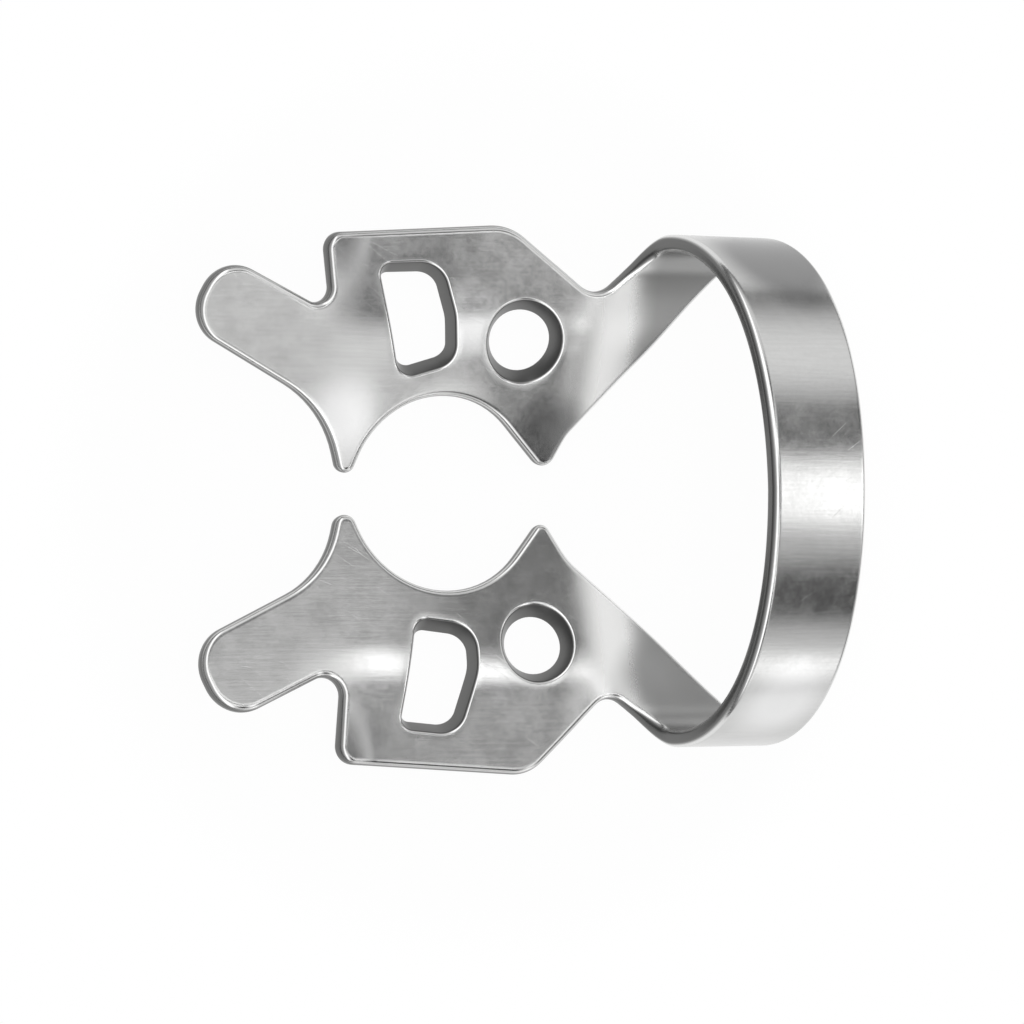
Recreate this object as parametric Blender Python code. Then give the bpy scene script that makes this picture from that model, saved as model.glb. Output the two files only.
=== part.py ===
"""Rubber dam clamp: one piece of spring steel sheet, blanked flat, pierced, tumbled and pressed to shape.

The part is made the way the real one is. A flat blank is drawn with its forceps holes and windows,
and gets its thickness, tapered holes and rounded edges while it is flat. It is then pressed:
the arms are creased down towards the bow, the side wings are folded level, the front wings
rise a little, and the strip between the arms is curled up and arched over into the bow.

Sizes are millimetres until the last step. x runs from the front wings to the bow. The reach of a
point is its distance from the middle plane, measured along the sheet where the strip is bent, up to
the top of the bow. The blank is drawn with its y at 0 at the top of the bow, the upper jaw below it
and the lower jaw above it, so that it opens out flat. The finished clamp has +Z up and its lowest
points, the rear prongs, at z = 0.
"""

import bisect
import math

import bmesh
import bpy
from mathutils import Vector
from mathutils.geometry import delaunay_2d_cdt
from mathutils.kdtree import KDTree

MM = 0.001

# Sheet
SHEET = 0.80
EDGE_ROUND = 0.20
STEEL_COLOUR = (0.58, 0.58, 0.57, 1.0)
STEEL_ROUGHNESS = 0.28

# Bow
BOW_HALF_WIDTH = 11.3
BOW_SHIFT = 0.14
BOW_RISE = 7.35
BOW_FULLNESS = 2.15
CURL_RADIUS = 2.4
BOW_FRONT_TOP = 6.75
BOW_REAR = 11.9
BOW_FRONT_RADIUS = 2.5
BOW_REAR_RADIUS = 4.0
CURL_FADE = 0.6

# Press bends along x, with their angles in radians
ARM_CREASE = 4.3
ARM_CREASE_RADIUS = 22.0
BOW_LEAN = math.radians(13)
WING_CREASE = -9.0
WING_CREASE_RADIUS = 14.0
WING_RISE = math.radians(2.5)

# Folds across the jaws: inside the fold line the jaw slopes down to its prongs, outside it the side
# wing is level, and the front wing carries on the slope of the jaw. The drop is measured at the
# prongs' reach, and grows from each jaw's own at the front prong to that of both rear prongs
REAR_PRONG_DROP = 1.72
FRONT_PRONG_X = -7.0
REAR_PRONG_X = 0.0
PRONG_REACH = 0.9
FOLD_HALF_WIDTH = 1.2
SLOPE_ENDS = -10.4
LEVEL_BEGINS = -8.0

# An opening is narrower at the lower face, on every side, by its taper along x and across it
HOLE_TAPER = (0.42, 0.48)
WINDOW_TAPER = (0.32, 0.45)

# Faceting: the edge is a band of rings inside the outline, and the faces are filled with a grid
ARC_STEP = math.radians(15)
EDGE_SEGMENTS = 2
EDGE_STEP = 0.9
BAND = EDGE_ROUND + 0.12
GRID_STEP = 0.9
GRID_CLEARANCE = 0.55 * GRID_STEP
MITRE_LIMIT = 0.5
MERGE = 1e-6
SLIVER = 0.0002
BEND_SAMPLE = 0.02
ARCH_STEPS = 240
TINY = 1e-9
SHARP_ANGLE = math.radians(40)

# Outline corners are (x, reach, radius). The arm's outer edge lies a set distance inside the bow's
# half width, so that it always runs into the foot of the bow
UPPER_JAW = {
    "side": 1,
    "arm_flank": (3.09, 2.67, 2.0),
    "arm_slant": 0.995,
    "rear_prong": (2.14, 0.86, 0.66),
    "throat": (-4.68, 7.98, 4.40),
    "front_prong": (-7.98, -0.07, 0.475),
    "waist": (-9.05, 3.84, 5.0),
    "front_wing_inner": (-15.85, 7.50, 1.69),
    "front_wing_outer": (-14.25, 10.69, 1.69),
    "front_notch": (-8.83, 8.10, 0.66),
    "side_wing_front": (-9.30, 11.70, 0.8),
    "side_wing_rear": (-0.22, 12.24, 2.4),
    "arm_notch": (4.04, BOW_HALF_WIDTH - 2.49, 1.2),
    "bow_front": (6.36, BOW_HALF_WIDTH - 0.35),
    "fold": 7.4,
    "front_prong_drop": 0.85,
    "hole": (0.48, 6.98, 1.85),
    "window": [
        (-6.70, 10.38, 0.6),
        (-3.58, 10.50, 1.3),
        (-2.90, 8.10, 2.5),
        (-2.78, 5.95, 1.1),
        (-5.56, 5.14, 0.8),
    ],
}

LOWER_JAW = {
    "side": -1,
    "arm_flank": (3.15, 3.15, 3.0),
    "arm_slant": 0.87,
    "rear_prong": (1.94, 1.11, 0.48),
    "throat": (-4.36, 8.51, 4.52),
    "front_prong": (-7.89, -0.15, 0.55),
    "waist": (-8.96, 3.72, 4.4),
    "front_wing_inner": (-15.66, 6.90, 1.80),
    "front_wing_outer": (-14.06, 10.44, 1.80),
    "front_notch": (-8.27, 7.82, 0.83),
    "side_wing_front": (-8.66, 12.20, 0.85),
    "side_wing_rear": (0.70, 12.83, 2.0),
    "arm_notch": (4.59, BOW_HALF_WIDTH - 2.12, 0.96),
    "bow_front": (6.74, BOW_HALF_WIDTH - 0.30),
    "fold": 8.0,
    "front_prong_drop": 1.16,
    "hole": (1.17, 6.87, 1.76),
    "window": [
        (-5.68, 10.68, 0.65),
        (-2.77, 10.98, 1.2),
        (-1.78, 8.00, 2.5),
        (-1.80, 6.02, 1.3),
        (-4.71, 5.66, 0.7),
    ],
}


def fillet(before, corner, after, radius):
    """The round that replaces the corner between two straight runs, as points along its arc."""
    back = (before - corner).normalized()
    ahead = (after - corner).normalized()
    half_opening = back.angle(ahead) / 2
    centre = corner + (back + ahead).normalized() * (radius / math.sin(half_opening))
    run = radius / math.tan(half_opening)
    start = corner + back * run - centre
    end = corner + ahead * run - centre
    turn = math.atan2(start.cross(end), start.dot(end))
    first = math.atan2(start.y, start.x)
    count = max(2, math.ceil(abs(turn) / ARC_STEP))
    angles = [first + turn * i / count for i in range(count + 1)]
    return [centre + radius * Vector((math.cos(angle), math.sin(angle))) for angle in angles]


def rounded(corners):
    """A closed outline from (x, y, radius) corners. A radius of 0 leaves the corner as it is."""
    points = [Vector(corner[:2]) for corner in corners]
    outline = []
    for i, (_, _, radius) in enumerate(corners):
        if radius:
            outline += fillet(points[i - 1], points[i], points[(i + 1) % len(points)], radius)
        else:
            outline.append(points[i])
    return outline


def stepped(outline):
    """The same closed outline, with its long runs divided so that they can be bent."""
    points = []
    for i, start in enumerate(outline):
        end = outline[(i + 1) % len(outline)]
        count = max(1, math.ceil((end - start).length / EDGE_STEP))
        points += [start.lerp(end, k / count) for k in range(count)]
    return points


def circle(x, y, radius):
    """A full circle as a closed outline."""
    count = round(2 * math.pi / ARC_STEP)
    angles = [2 * math.pi * i / count for i in range(count)]
    return [Vector((x + radius * math.cos(angle), y + radius * math.sin(angle))) for angle in angles]


def arch_point(angle):
    """Point of the arch, a little fuller in its shoulders than an ellipse, from its widest point at 0."""
    power = 2 / BOW_FULLNESS
    return Vector((BOW_HALF_WIDTH * math.cos(angle) ** power, BOW_RISE * math.sin(angle) ** power))


def arch_table():
    """Half of the arch from its widest point to its top, as (length so far, angle)."""
    table = [(0.0, 0.0)]
    last = arch_point(0.0)
    for i in range(1, ARCH_STEPS + 1):
        angle = math.pi / 2 * i / ARCH_STEPS
        point = arch_point(angle) if i < ARCH_STEPS else Vector((0.0, BOW_RISE))
        table.append((table[-1][0] + (point - last).length, angle))
        last = point
    return table


ARCH = arch_table()
CURL_REACH = BOW_HALF_WIDTH - CURL_RADIUS
CURL_LENGTH = CURL_RADIUS * math.pi / 2
TOP_REACH = CURL_REACH + CURL_LENGTH + ARCH[-1][0]


def strip_profile(reach):
    """Distance from the middle plane, and height, of the sheet at a reach from the middle plane."""
    if reach <= CURL_REACH:
        return reach, 0.0
    along = reach - CURL_REACH
    if along <= CURL_LENGTH:
        turn = along / CURL_RADIUS
        return CURL_REACH + CURL_RADIUS * math.sin(turn), CURL_RADIUS * (1 - math.cos(turn))
    along = min(along - CURL_LENGTH, ARCH[-1][0])
    i = min(bisect.bisect(ARCH, (along, 0.0)), ARCH_STEPS)
    (length_a, angle_a), (length_b, angle_b) = ARCH[i - 1:i + 1]
    angle = angle_a + (angle_b - angle_a) * (along - length_a) / (length_b - length_a)
    across, height = arch_point(min(angle, math.pi / 2 - TINY))
    return across, CURL_RADIUS + height


def crease(distance, place, radius, angle):
    """A straight run that turns by an angle at one place: (how far it gets, how far it drops, its turn)."""
    start = place - radius * angle / 2
    if distance <= start:
        return distance, 0.0, 0.0
    turn = min((distance - start) / radius, angle)
    rest = max(0.0, distance - start - radius * angle)
    far = start + radius * math.sin(turn) + rest * math.cos(angle)
    drop = radius * (1 - math.cos(turn)) + rest * math.sin(angle)
    return far, drop, turn


def spine(x):
    """The pressed line along x, as (x, height, downward turn), 0 high between the two creases."""
    if x >= 0:
        far, drop, turn = crease(x, ARM_CREASE, ARM_CREASE_RADIUS, BOW_LEAN)
        return far, -drop, turn
    far, climb, turn = crease(-x, -WING_CREASE, WING_CREASE_RADIUS, WING_RISE)
    return -far, climb, turn


def smooth_step(part):
    """Eases from 0 to 1 while its argument runs from 0 to 1."""
    part = min(1.0, max(0.0, part))
    return part * part * (3 - 2 * part)


def fold_height(jaw, x, reach):
    """Height that the fold of a jaw gives to a point: below 0 inside the fold, 0 on the side wing."""
    level = smooth_step((x - SLOPE_ENDS) / (LEVEL_BEGINS - SLOPE_ENDS))
    over = reach - jaw["fold"]
    bend = min(max(over + FOLD_HALF_WIDTH, 0.0), 2 * FOLD_HALF_WIDTH)
    flattened = bend * bend / (4 * FOLD_HALF_WIDTH) + max(0.0, over - FOLD_HALF_WIDTH)
    rearwards = smooth_step((x - FRONT_PRONG_X) / (REAR_PRONG_X - FRONT_PRONG_X))
    drop = jaw["front_prong_drop"] + (REAR_PRONG_DROP - jaw["front_prong_drop"]) * rearwards
    return (over - level * flattened) * drop / (jaw["fold"] - PRONG_REACH)


def blank_y(jaw, reach):
    """Place of a reach on the flat blank, whose y is 0 at the top of the bow."""
    return jaw["side"] * (reach - TOP_REACH)


def sheet_middle(x, y):
    """Pressed place of a point of the flat blank, in the middle of the sheet."""
    jaw = UPPER_JAW if y < 0 else LOWER_JAW
    reach = TOP_REACH - abs(y)
    far, height, turn = spine(x)
    curled_across, curled_height = strip_profile(reach)
    curled = smooth_step((x - jaw["arm_notch"][0]) / CURL_FADE + 0.5)
    across = reach + curled * (curled_across - reach)
    lift = curled * curled_height + fold_height(jaw, x, reach)
    aside = jaw["side"] * across + BOW_SHIFT * smooth_step(x / BOW_FRONT_TOP)
    return Vector((far + lift * math.sin(turn), aside, height + lift * math.cos(turn)))


def pressed(point):
    """Pressed place of a point of the blank, kept at its distance from the middle of the sheet."""
    x, y, height = point
    along = sheet_middle(x + BEND_SAMPLE, y) - sheet_middle(x - BEND_SAMPLE, y)
    across = sheet_middle(x, y + BEND_SAMPLE) - sheet_middle(x, y - BEND_SAMPLE)
    return sheet_middle(x, y) + along.cross(across).normalized() * height


def half_outline(jaw):
    """Corners of one half of the blank, from the rear edge of the bow round to its front edge."""
    flank_x, flank_reach, _ = jaw["arm_flank"]
    foot_reach = flank_reach + jaw["arm_slant"] * (BOW_REAR - flank_x)
    named = ("arm_flank", "rear_prong", "throat", "front_prong", "waist", "front_wing_inner",
             "front_wing_outer", "front_notch", "side_wing_front", "side_wing_rear", "arm_notch")
    corners = [(BOW_REAR, TOP_REACH, 0.0), (BOW_REAR, foot_reach, BOW_REAR_RADIUS)]
    corners += [jaw[name] for name in named]
    corners += [(*jaw["bow_front"], BOW_FRONT_RADIUS), (BOW_FRONT_TOP, TOP_REACH, 0.0)]
    return [(x, blank_y(jaw, reach), radius) for x, reach, radius in corners]


def blank_outlines():
    """Outline of the blank, anticlockwise, then its four openings, each as (outline, taper)."""
    upper = half_outline(UPPER_JAW)
    lower = half_outline(LOWER_JAW)
    outer = stepped(rounded(upper[:-1] + lower[::-1][:-1]))
    openings = []
    for jaw in (UPPER_JAW, LOWER_JAW):
        x, reach, radius = jaw["hole"]
        openings.append((circle(x, blank_y(jaw, reach), radius), HOLE_TAPER))
        window = [(x, blank_y(jaw, reach), radius) for x, reach, radius in jaw["window"]]
        openings.append((stepped(rounded(window)), WINDOW_TAPER))
    return anticlockwise(outer), [(anticlockwise(outline), taper) for outline, taper in openings]


def anticlockwise(outline):
    """The outline in anticlockwise order."""
    area = sum(outline[i - 1].cross(point) for i, point in enumerate(outline))
    return outline if area > 0 else outline[::-1]


def offset(outline, distance):
    """The outline moved to its left, which is inwards for an anticlockwise outline."""
    moved = []
    for i, point in enumerate(outline):
        ahead = (outline[(i + 1) % len(outline)] - point).normalized()
        behind = (point - outline[i - 1]).normalized()
        left = Vector((-(ahead.y + behind.y), ahead.x + behind.x)).normalized()
        across = max(MITRE_LIMIT, left.dot(Vector((-ahead.y, ahead.x))))
        moved.append(point + left * (distance / across))
    return moved


def inside(point, outline):
    """Whether a point lies within a closed outline."""
    within = False
    for i, a in enumerate(outline):
        b = outline[i - 1]
        if (a.y > point.y) != (b.y > point.y):
            if point.x < a.x + (b.x - a.x) * (point.y - a.y) / (b.y - a.y):
                within = not within
    return within


def face_points(loops):
    """Evenly spread points in the middle of the blank, clear of its edges."""
    near = KDTree(sum(len(loop) for loop in loops))
    for i, point in enumerate(point for loop in loops for point in loop):
        near.insert(point.to_3d(), i)
    near.balance()
    outer, *holes = loops
    low = [min(point[axis] for point in outer) for axis in (0, 1)]
    high = [max(point[axis] for point in outer) for axis in (0, 1)]
    points = []
    for row in range(int((high[1] - low[1]) / GRID_STEP)):
        for column in range(int((high[0] - low[0]) / GRID_STEP)):
            point = Vector((low[0] + GRID_STEP * (column + row % 2 / 2), low[1] + GRID_STEP * (row + 0.5)))
            if near.find(point.to_3d())[2] < GRID_CLEARANCE:
                continue
            if inside(point, outer) and not any(inside(point, hole) for hole in holes):
                points.append(point)
    return points


def filled_blank(loops):
    """A bmesh of the upper face inside the given loops, and the vertices of each loop in order."""
    points = [point for loop in loops for point in loop]
    edges = []
    for loop in loops:
        first = points.index(loop[0])
        edges += [(first + i, first + (i + 1) % len(loop)) for i in range(len(loop))]
    points += face_points(loops)
    filled, _, triangles, origins, _, _ = delaunay_2d_cdt(points, edges, [], 0, MERGE)
    blank = bmesh.new()
    verts = [blank.verts.new((point.x, point.y, SHEET / 2)) for point in filled]
    outer, *holes = loops
    for triangle in triangles:
        a, b, c = (filled[i] for i in triangle)
        middle = (a + b + c) / 3
        has_area = abs((b - a).cross(c - a)) > SLIVER
        if has_area and inside(middle, outer) and not any(inside(middle, hole) for hole in holes):
            blank.faces.new([verts[i] for i in triangle])
    place = {source: i for i, sources in enumerate(origins) for source in sources}
    rings = []
    start = 0
    for loop in loops:
        rings.append([verts[place[start + i]] for i in range(len(loop))])
        start += len(loop)
    return blank, rings


def edge_profile():
    """Section of a rounded edge, upper face to lower face, as (distance in from the edge, height)."""
    round_radius = min(EDGE_ROUND, SHEET / 2 - TINY)
    angles = [math.pi / 2 * i / EDGE_SEGMENTS for i in range(EDGE_SEGMENTS + 1)]
    upper = [(round_radius * (1 - math.sin(angle)), SHEET / 2 - round_radius * (1 - math.cos(angle)))
             for angle in angles]
    lower = [(inset, -height) for inset, height in reversed(upper)]
    return upper + lower


def edge_ring(blank, outline, side, inset, height, taper):
    """One ring of vertices along an edge, drawn into the opening as far as its taper has got there."""
    depth = (SHEET / 2 - height) / SHEET
    ring = []
    for point, moved, left in zip(outline, offset(outline, side * inset), offset(outline, 1.0)):
        place = moved + (left - point).normalized() * Vector(taper) * depth
        ring.append(blank.verts.new((place.x, place.y, height)))
    return ring


def bridge(blank, ring, next_ring):
    """A band of faces between two rings of the same number of vertices."""
    for i in range(len(ring)):
        blank.faces.new((ring[i - 1], ring[i], next_ring[i], next_ring[i - 1]))


def thick_blank():
    """The flat blank with its thickness, tapered openings and rounded edges."""
    outer, openings = blank_outlines()
    edges = [(outer, 1, (0.0, 0.0))] + [(outline, -1, taper) for outline, taper in openings]
    blank, upper_rings = filled_blank([offset(outline, side * BAND) for outline, side, _ in edges])

    lower = bmesh.ops.duplicate(blank, geom=blank.verts[:] + blank.edges[:] + blank.faces[:])
    lower_rings = [[lower["vert_map"][vert] for vert in ring] for ring in upper_rings]
    lower_verts = [item for item in lower["geom"] if isinstance(item, bmesh.types.BMVert)]
    bmesh.ops.translate(blank, verts=lower_verts, vec=(0, 0, -SHEET))

    for (outline, side, taper), upper_ring, lower_ring in zip(edges, upper_rings, lower_rings):
        rings = [edge_ring(blank, outline, side, inset, height, taper) for inset, height in edge_profile()]
        rings = [upper_ring] + rings + [lower_ring]
        for ring, next_ring in zip(rings, rings[1:]):
            bridge(blank, ring, next_ring)
    bmesh.ops.recalc_face_normals(blank, faces=blank.faces)
    return blank


def steel():
    """Tumbled and brushed spring steel."""
    material = bpy.data.materials.new("spring_steel")
    material.use_nodes = True
    shader = material.node_tree.nodes["Principled BSDF"]
    shader.inputs["Base Color"].default_value = STEEL_COLOUR
    shader.inputs["Metallic"].default_value = 1.0
    shader.inputs["Roughness"].default_value = STEEL_ROUGHNESS
    return material


def clamp():
    """The pressed clamp, in the middle of the floor, with its rear prongs touching it."""
    body = thick_blank()
    for vert in body.verts:
        vert.co = pressed(vert.co)
    low = Vector([min(vert.co[axis] for vert in body.verts) for axis in range(3)])
    high = Vector([max(vert.co[axis] for vert in body.verts) for axis in range(3)])
    foot = Vector(((low.x + high.x) / 2, (low.y + high.y) / 2, low.z))
    for vert in body.verts:
        vert.co = (vert.co - foot) * MM
    mesh = bpy.data.meshes.new("clamp_body")
    body.to_mesh(mesh)
    body.free()
    mesh.materials.append(steel())
    mesh.shade_smooth()
    mesh.set_sharp_from_angle(angle=SHARP_ANGLE)
    item = bpy.data.objects.new("clamp_body", mesh)
    bpy.context.collection.objects.link(item)
    return item


for old in list(bpy.data.objects):
    bpy.data.objects.remove(old)
clamp()
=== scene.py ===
# Rubber dam clamp in tumbled spring steel, dressed over its CAD frame.
# Lengths in the dictionaries are millimetres and angles are degrees, unless a note says otherwise.
import math

import bmesh
import bpy
import numpy as np
from mathutils import Matrix, Vector
from mathutils.geometry import delaunay_2d_cdt


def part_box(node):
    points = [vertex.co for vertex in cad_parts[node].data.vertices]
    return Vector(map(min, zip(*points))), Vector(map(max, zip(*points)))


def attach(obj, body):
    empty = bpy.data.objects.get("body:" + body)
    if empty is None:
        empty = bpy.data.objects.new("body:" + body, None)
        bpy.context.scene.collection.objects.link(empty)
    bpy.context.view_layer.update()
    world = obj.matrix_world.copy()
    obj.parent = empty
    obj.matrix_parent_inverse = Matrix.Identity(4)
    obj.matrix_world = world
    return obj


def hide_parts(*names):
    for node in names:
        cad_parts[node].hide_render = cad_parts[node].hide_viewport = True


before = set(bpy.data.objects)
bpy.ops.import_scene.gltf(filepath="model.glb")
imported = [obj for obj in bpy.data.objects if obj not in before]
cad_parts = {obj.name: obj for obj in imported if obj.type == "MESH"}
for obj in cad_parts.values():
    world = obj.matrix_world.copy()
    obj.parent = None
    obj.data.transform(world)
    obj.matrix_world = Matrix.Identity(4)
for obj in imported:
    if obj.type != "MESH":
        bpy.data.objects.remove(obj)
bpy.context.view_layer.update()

mm = 0.001
print("frame loaded")


# Camera: nearly straight above, leaning towards the front wings
camera = {
    "lean": 21.0,               # away from straight up, towards -X
    "tilt": -0.7,               # towards -Y
    "distance": 300.0,
    "imageSize": 1024,
    "pixelsPerMm": 22.0,
    "aimPoint": (0.0, 0.0, 2.0),
    "aimPixel": (499.77, 500.03),
    "sensor": 36.0,
    "clip": (0.01, 20.0),       # metres
}


def makeCamera(spec):
    lean, tilt = math.radians(spec["lean"]), math.radians(spec["tilt"])
    towards = Vector((-math.sin(lean) * math.cos(tilt), math.sin(tilt), math.cos(lean) * math.cos(tilt)))
    right = Vector((0, 1, 0)).cross(towards).normalized()
    up = towards.cross(right)
    middle = spec["imageSize"] / 2
    sideways = (middle - spec["aimPixel"][0]) / spec["pixelsPerMm"]
    upwards = (spec["aimPixel"][1] - middle) / spec["pixelsPerMm"]
    target = Vector(spec["aimPoint"]) + right * sideways + up * upwards
    data = bpy.data.cameras.new("viewCamera")
    data.sensor_width = spec["sensor"]
    data.lens = spec["sensor"] * spec["distance"] * spec["pixelsPerMm"] / spec["imageSize"]
    data.clip_start, data.clip_end = spec["clip"]
    item = bpy.data.objects.new("viewCamera", data)
    bpy.context.collection.objects.link(item)
    item.location = (target + towards * spec["distance"]) * mm
    item.rotation_euler = Matrix((right, up, towards)).transposed().to_euler()
    bpy.context.scene.camera = item
    print("camera placed, lens", round(data.lens, 1))


makeCamera(camera)


# The clamp: one sheet, drawn flat as (x, reach) and then pressed.
# The reach of a point is its distance from the middle plane along the sheet, up to the top of the bow.
# Outline corners are (x, reach, radius).
clamp = {
    "sheet": 0.80,
    "outerRim": (0.29, 0.33),      # how far the rounding reaches in and down
    "openingRim": (0.10, 0.10),
    "rimSteps": 8,
    "band": 0.36,                  # from the edge to the first ring of the flat faces
    "arcStep": 5.0,
    "arcLeast": 3,                 # steps of the shortest arc
    "edgeStep": 0.24,
    "gridStep": 0.26,
    "gridClearance": 0.15,
    "mitreLimit": 0.5,
    "merge": 1e-6,
    "sliver": 0.00002,             # square millimetres, under which a triangle is left out
    "holeTaper": (0.42, 0.48),
    "windowTaper": (0.32, 0.45),
    "bowFrontTop": 6.75,
    "bowRear": 11.9,
    "bowFrontRadius": 2.5,
    "bowRearRadius": 4.0,
    "upper": {
        "side": 1,
        "armSlant": 0.995,
        "corners": {
            "armFlank": (3.09, 2.67, 2.0),
            "rearProng": (2.14, 0.86, 0.66),
            "throat": (-4.68, 7.98, 4.40),
            "frontProng": (-7.98, -0.07, 0.475),
            "waist": (-9.05, 3.84, 5.0),
            "frontWingInner": (-15.85, 7.50, 1.69),
            "frontWingOuter": (-14.25, 10.69, 1.69),
            "frontNotch": (-8.83, 8.10, 0.66),
            "sideWingFront": (-9.30, 11.70, 0.8),
            "sideWingRear": (-0.22, 12.24, 2.4),
            "armNotch": (4.04, 8.81, 1.2),
        },
        "bowFront": (6.36, 10.86),
        "hole": (0.48, 6.98, 1.85),
        "window": [
            (-6.70, 10.38, 0.6),
            (-3.58, 10.50, 1.3),
            (-2.90, 8.10, 2.5),
            (-2.78, 5.95, 1.1),
            (-5.56, 5.14, 0.8),
        ],
    },
    "lower": {
        "side": -1,
        "armSlant": 0.87,
        "corners": {
            "armFlank": (3.15, 3.15, 3.0),
            "rearProng": (1.94, 1.11, 0.48),
            "throat": (-4.36, 8.51, 4.52),
            "frontProng": (-7.89, -0.15, 0.55),
            "waist": (-8.96, 3.72, 4.4),
            "frontWingInner": (-15.66, 6.90, 1.80),
            "frontWingOuter": (-14.06, 10.44, 1.80),
            "frontNotch": (-8.27, 7.82, 0.83),
            "sideWingFront": (-8.66, 12.20, 0.85),
            "sideWingRear": (0.70, 12.83, 2.0),
            "armNotch": (4.59, 9.18, 0.96),
        },
        "bowFront": (6.74, 10.91),
        "hole": (1.17, 6.87, 1.76),
        "window": [
            (-5.68, 10.68, 0.65),
            (-2.77, 10.98, 1.2),
            (-1.78, 8.00, 2.5),
            (-1.80, 6.02, 1.3),
            (-4.71, 5.66, 0.7),
        ],
    },
}

# The bow's path across the clamp: level, a slow curl, a tight curl upright, then half of a full arch
bow = {
    "halfWidth": 11.3,
    "rise": 7.65,
    "fullness": 2.15,
    "slowRadius": 8.5,
    "slowTurn": 14.0,
    "tightRadius": 1.9,
    "curlSteps": 240,
    "archSteps": 2400,
}

# The press: what the Geometry Nodes tree is told, by the names of its sockets. Its angles are radians.
press = {
    "Arm Crease": 4.3,
    "Arm Crease Radius": 22.0,
    "Bow Lean": math.radians(13),
    "Wing Crease": 9.0,
    "Wing Crease Radius": 60.0,
    "Wing Rise": math.radians(2.5),
    "Upper Front Drop": 0.85,
    "Lower Front Drop": 1.16,
    "Rear Drop": 1.72,
    "Front Prong X": -7.0,
    "Rear Prong X": 0.0,
    "Prong Reach": 0.9,
    "Fold Half Width": 1.2,
    "Upper Fold": 7.4,
    "Lower Fold": 8.0,
    "Slope Ends": -11.2,
    "Level Begins": -6.6,
    "Upper Curl Begins": clamp["upper"]["corners"]["armNotch"][0],
    "Lower Curl Begins": clamp["lower"]["corners"]["armNotch"][0],
    "Curl Fade": 3.0,
    "Bow Shift": 0.14,
    "Bow Shift Run": clamp["bowFrontTop"],
}


def bowPathPoints(spec):
    slow, tight, split = spec["slowRadius"], spec["tightRadius"], math.radians(spec["slowTurn"])
    run = slow * math.sin(split) + tight * (1 - math.sin(split))
    height = slow * (1 - math.cos(split)) + tight * math.cos(split)
    points = [Vector((0, 0, 0))]
    for i in range(spec["curlSteps"] + 1):
        turn = math.pi / 2 * i / spec["curlSteps"]
        if turn < split:
            points.append(Vector((0, spec["halfWidth"] - run + slow * math.sin(turn),
                                  slow * (1 - math.cos(turn)))))
        else:
            points.append(Vector((0, spec["halfWidth"] - tight * (1 - math.sin(turn)),
                                  height - tight * math.cos(turn))))
    power = 2 / spec["fullness"]
    for i in range(1, spec["archSteps"] + 1):
        angle = math.pi / 2 * i / spec["archSteps"]
        across = spec["halfWidth"] * max(0.0, math.cos(angle)) ** power if i < spec["archSteps"] else 0.0
        points.append(Vector((0, across, height + spec["rise"] * math.sin(angle) ** power)))
    return points


bowPath = bowPathPoints(bow)
topReach = sum((b - a).length for a, b in zip(bowPath, bowPath[1:]))


def fillet(before, corner, after, radius):
    back, ahead = (before - corner).normalized(), (after - corner).normalized()
    half = back.angle(ahead) / 2
    centre = corner + (back + ahead).normalized() * (radius / math.sin(half))
    run = radius / math.tan(half)
    start, end = corner + back * run - centre, corner + ahead * run - centre
    turn = math.atan2(start.cross(end), start.dot(end))
    first = math.atan2(start.y, start.x)
    count = max(clamp["arcLeast"], math.ceil(abs(turn) / math.radians(clamp["arcStep"])))
    angles = [first + turn * i / count for i in range(count + 1)]
    return [centre + radius * Vector((math.cos(a), math.sin(a))) for a in angles]


def roundedOutline(corners):
    points = [Vector(corner[:2]) for corner in corners]
    outline = []
    for i, corner in enumerate(corners):
        if corner[2]:
            outline += fillet(points[i - 1], points[i], points[(i + 1) % len(points)], corner[2])
        else:
            outline.append(points[i])
    return outline


def divided(outline):
    points = []
    for i, start in enumerate(outline):
        end = outline[(i + 1) % len(outline)]
        count = max(1, math.ceil((end - start).length / clamp["edgeStep"]))
        points += [start.lerp(end, k / count) for k in range(count)]
    return points


def turnedLeft(outline):      # anticlockwise, seen from above
    area = sum(outline[i - 1].cross(point) for i, point in enumerate(outline))
    return outline if area > 0 else outline[::-1]


def blankY(jaw, reach):       # the flat blank has y = 0 at the top of the bow
    return jaw["side"] * (reach - topReach)


def halfOutline(jaw):
    flankX, flankReach, _ = jaw["corners"]["armFlank"]
    heelReach = flankReach + jaw["armSlant"] * (clamp["bowRear"] - flankX)
    corners = [(clamp["bowRear"], topReach, 0), (clamp["bowRear"], heelReach, clamp["bowRearRadius"])]
    corners += list(jaw["corners"].values())
    corners += [(*jaw["bowFront"], clamp["bowFrontRadius"]), (clamp["bowFrontTop"], topReach, 0)]
    return [(x, blankY(jaw, reach), radius) for x, reach, radius in corners]


def blankOutlines():          # (outline, side that the steel is on, taper, rounding)
    upper, lower = halfOutline(clamp["upper"]), halfOutline(clamp["lower"])
    outer = divided(roundedOutline(upper[:-1] + lower[::-1][:-1]))
    edges = [(turnedLeft(outer), 1, (0.0, 0.0), clamp["outerRim"])]
    for jaw in (clamp["upper"], clamp["lower"]):
        x, reach, radius = jaw["hole"]
        count = math.ceil(2 * math.pi * radius / clamp["edgeStep"])
        turns = [2 * math.pi * i / count for i in range(count)]
        hole = [Vector((x + radius * math.cos(a), blankY(jaw, reach) + radius * math.sin(a))) for a in turns]
        edges.append((turnedLeft(hole), -1, clamp["holeTaper"], clamp["openingRim"]))
        window = [(cornerX, blankY(jaw, cornerReach), r) for cornerX, cornerReach, r in jaw["window"]]
        window = turnedLeft(divided(roundedOutline(window)))
        edges.append((window, -1, clamp["windowTaper"], clamp["openingRim"]))
    return edges


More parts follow.
